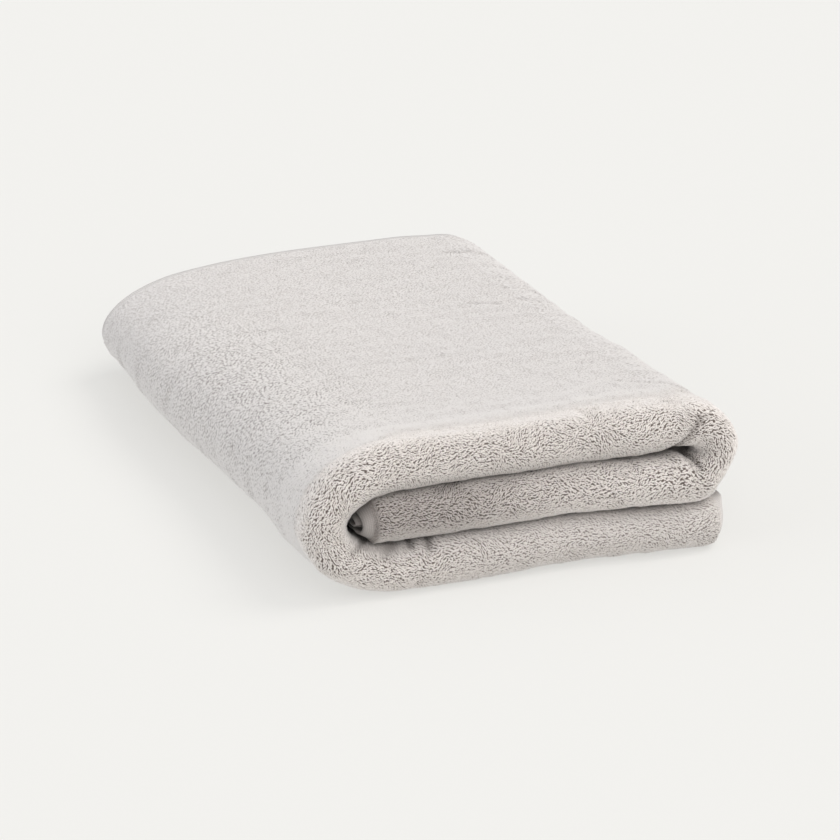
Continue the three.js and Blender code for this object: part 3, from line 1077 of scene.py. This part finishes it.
# %% Standing loops
# Each loop is painted dark at its feet as shade and light at its tip as light; calm pile has less
# of both
shaded_root_colour = (0.36, 0.31, 0.275, 1)
calm_shaded_root_colour = (0.65, 0.62, 0.60, 1)
lit_tip_colour = (0.95, 0.91, 0.88, 1)
calm_lit_tip_colour = (0.73, 0.703, 0.682, 1)
roots_clear = 2.0
tips_dull = 0.36
tone_share = 0.2
tip_share = 0.8


def loop_material(name):
    """The yarn of a loop, painted darker at its feet as the shade between loops and lighter at its
    tip as light, and a little different from loop to loop. Calm pile has less painted shade and
    light, duller tips and lighter feet, so that it reads as one even surface."""
    material, tree, shader = new_material(name, sheen=0.35, sheen_roughness=0.5, shine=0.1)
    calm = attribute_of(tree, "calm")
    cleared = maths(tree, "POWER", calm, roots_clear)
    root = mix_colours(tree, cleared, shaded_root_colour, calm_shaded_root_colour)
    dulled = maths(tree, "POWER", calm, tips_dull)
    head = mix_colours(tree, dulled, lit_tip_colour, calm_lit_tip_colour)
    by_tone = maths(tree, "MULTIPLY", attribute_of(tree, "tone"), tone_share)
    by_tip = maths(tree, "MULTIPLY", attribute_of(tree, "tip"), tip_share)
    # From the painted shade at the feet to the painted light at the tips
    colour = mix_colours(tree, maths(tree, "ADD", by_tone, by_tip), root, head)
    tree.links.new(shaded_in(tree, colour), shader.inputs["Base Color"])
    return material


loops_finish = loop_material("terry_loops")
for piece in pile_pieces:
    piece.data.materials.append(loops_finish)

# %% [markdown]
# ## Floor and light
# The sheet lies on a plain pale ground in soft studio light, and its only shadow is a faint one at
# the left side and under the front. One lamp alone would leave that shadow hard and the front folds
# dark. So an even dome lights all of it, a broad soft lamp high on the right shapes the folds, and
# a wide ceiling and two fills, cool from the left and warm from the front, lift what it misses.
# Part of the floor's tone is its own glow, which keeps it as pale far off as it is near.

# %% Floor
floor_colour = (0.31, 0.307, 0.297, 1)
floor_glow = (0.525, 0.522, 0.507, 1)
floor_half = 30.0
floor_drop = 0.2
floor_points = np.array([[-1, -1, 0], [1, -1, 0], [1, 1, 0], [-1, 1, 0]]) * floor_half / MM
floor_points[:, 2] = -floor_drop
floor = make_mesh("studio_floor", floor_points, [np.array([[0, 1, 2, 3]])])
floor_material = bpy.data.materials.new("pale_floor")
floor_material.use_nodes = True
floor_shader = floor_material.node_tree.nodes["Principled BSDF"]
floor_shader.inputs["Base Color"].default_value = floor_colour
floor_shader.inputs["Emission Color"].default_value = floor_glow
floor_shader.inputs["Emission Strength"].default_value = 1.0
floor_shader.inputs["Roughness"].default_value = 1.0
floor_shader.inputs["Specular IOR Level"].default_value = 0.0
floor.data.materials.append(floor_material)

# %% Light
dome_colour = (0.97, 0.975, 1.0, 1)
dome_strength = 0.5
world = bpy.data.worlds.new("dome")
world.use_nodes = True
world.node_tree.nodes["Background"].inputs["Color"].default_value = dome_colour
world.node_tree.nodes["Background"].inputs["Strength"].default_value = dome_strength
bpy.context.scene.world = world


def soft_lamp(name, strength, colour, spread, azimuth, height):
    """A distant lamp as wide as the spread says. All three angles are in degrees."""
    lamp_data = bpy.data.lights.new(name, "SUN")
    lamp_data.energy = strength
    lamp_data.color = colour
    lamp_data.angle = math.radians(spread)
    lamp = bpy.data.objects.new(name, lamp_data)
    bpy.context.scene.collection.objects.link(lamp)
    lamp.rotation_euler = (math.pi / 2 - math.radians(height), 0, math.radians(azimuth))


for name, strength, colour, spread, azimuth, height in (
    ("broad_lamp", 1.15, (1.0, 0.985, 0.95), 36, 76, 56),
    ("ceiling", 0.34, (1.0, 0.995, 0.98), 130, 0, 90),
    ("cool_fill", 1.2, (0.86, 0.92, 1.0), 60, -95, 4),
    ("front_fill", 1.3, (1.0, 0.985, 0.97), 60, 0, 35),
):
    soft_lamp(name, strength, colour, spread, azimuth, height)
bpy.context.scene.view_settings.view_transform = "Standard"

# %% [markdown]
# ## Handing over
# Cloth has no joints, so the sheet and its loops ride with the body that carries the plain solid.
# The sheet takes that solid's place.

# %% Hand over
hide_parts("bath_sheet")
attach(sheet, "root")
for piece in pile_pieces:
    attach(piece, "root")
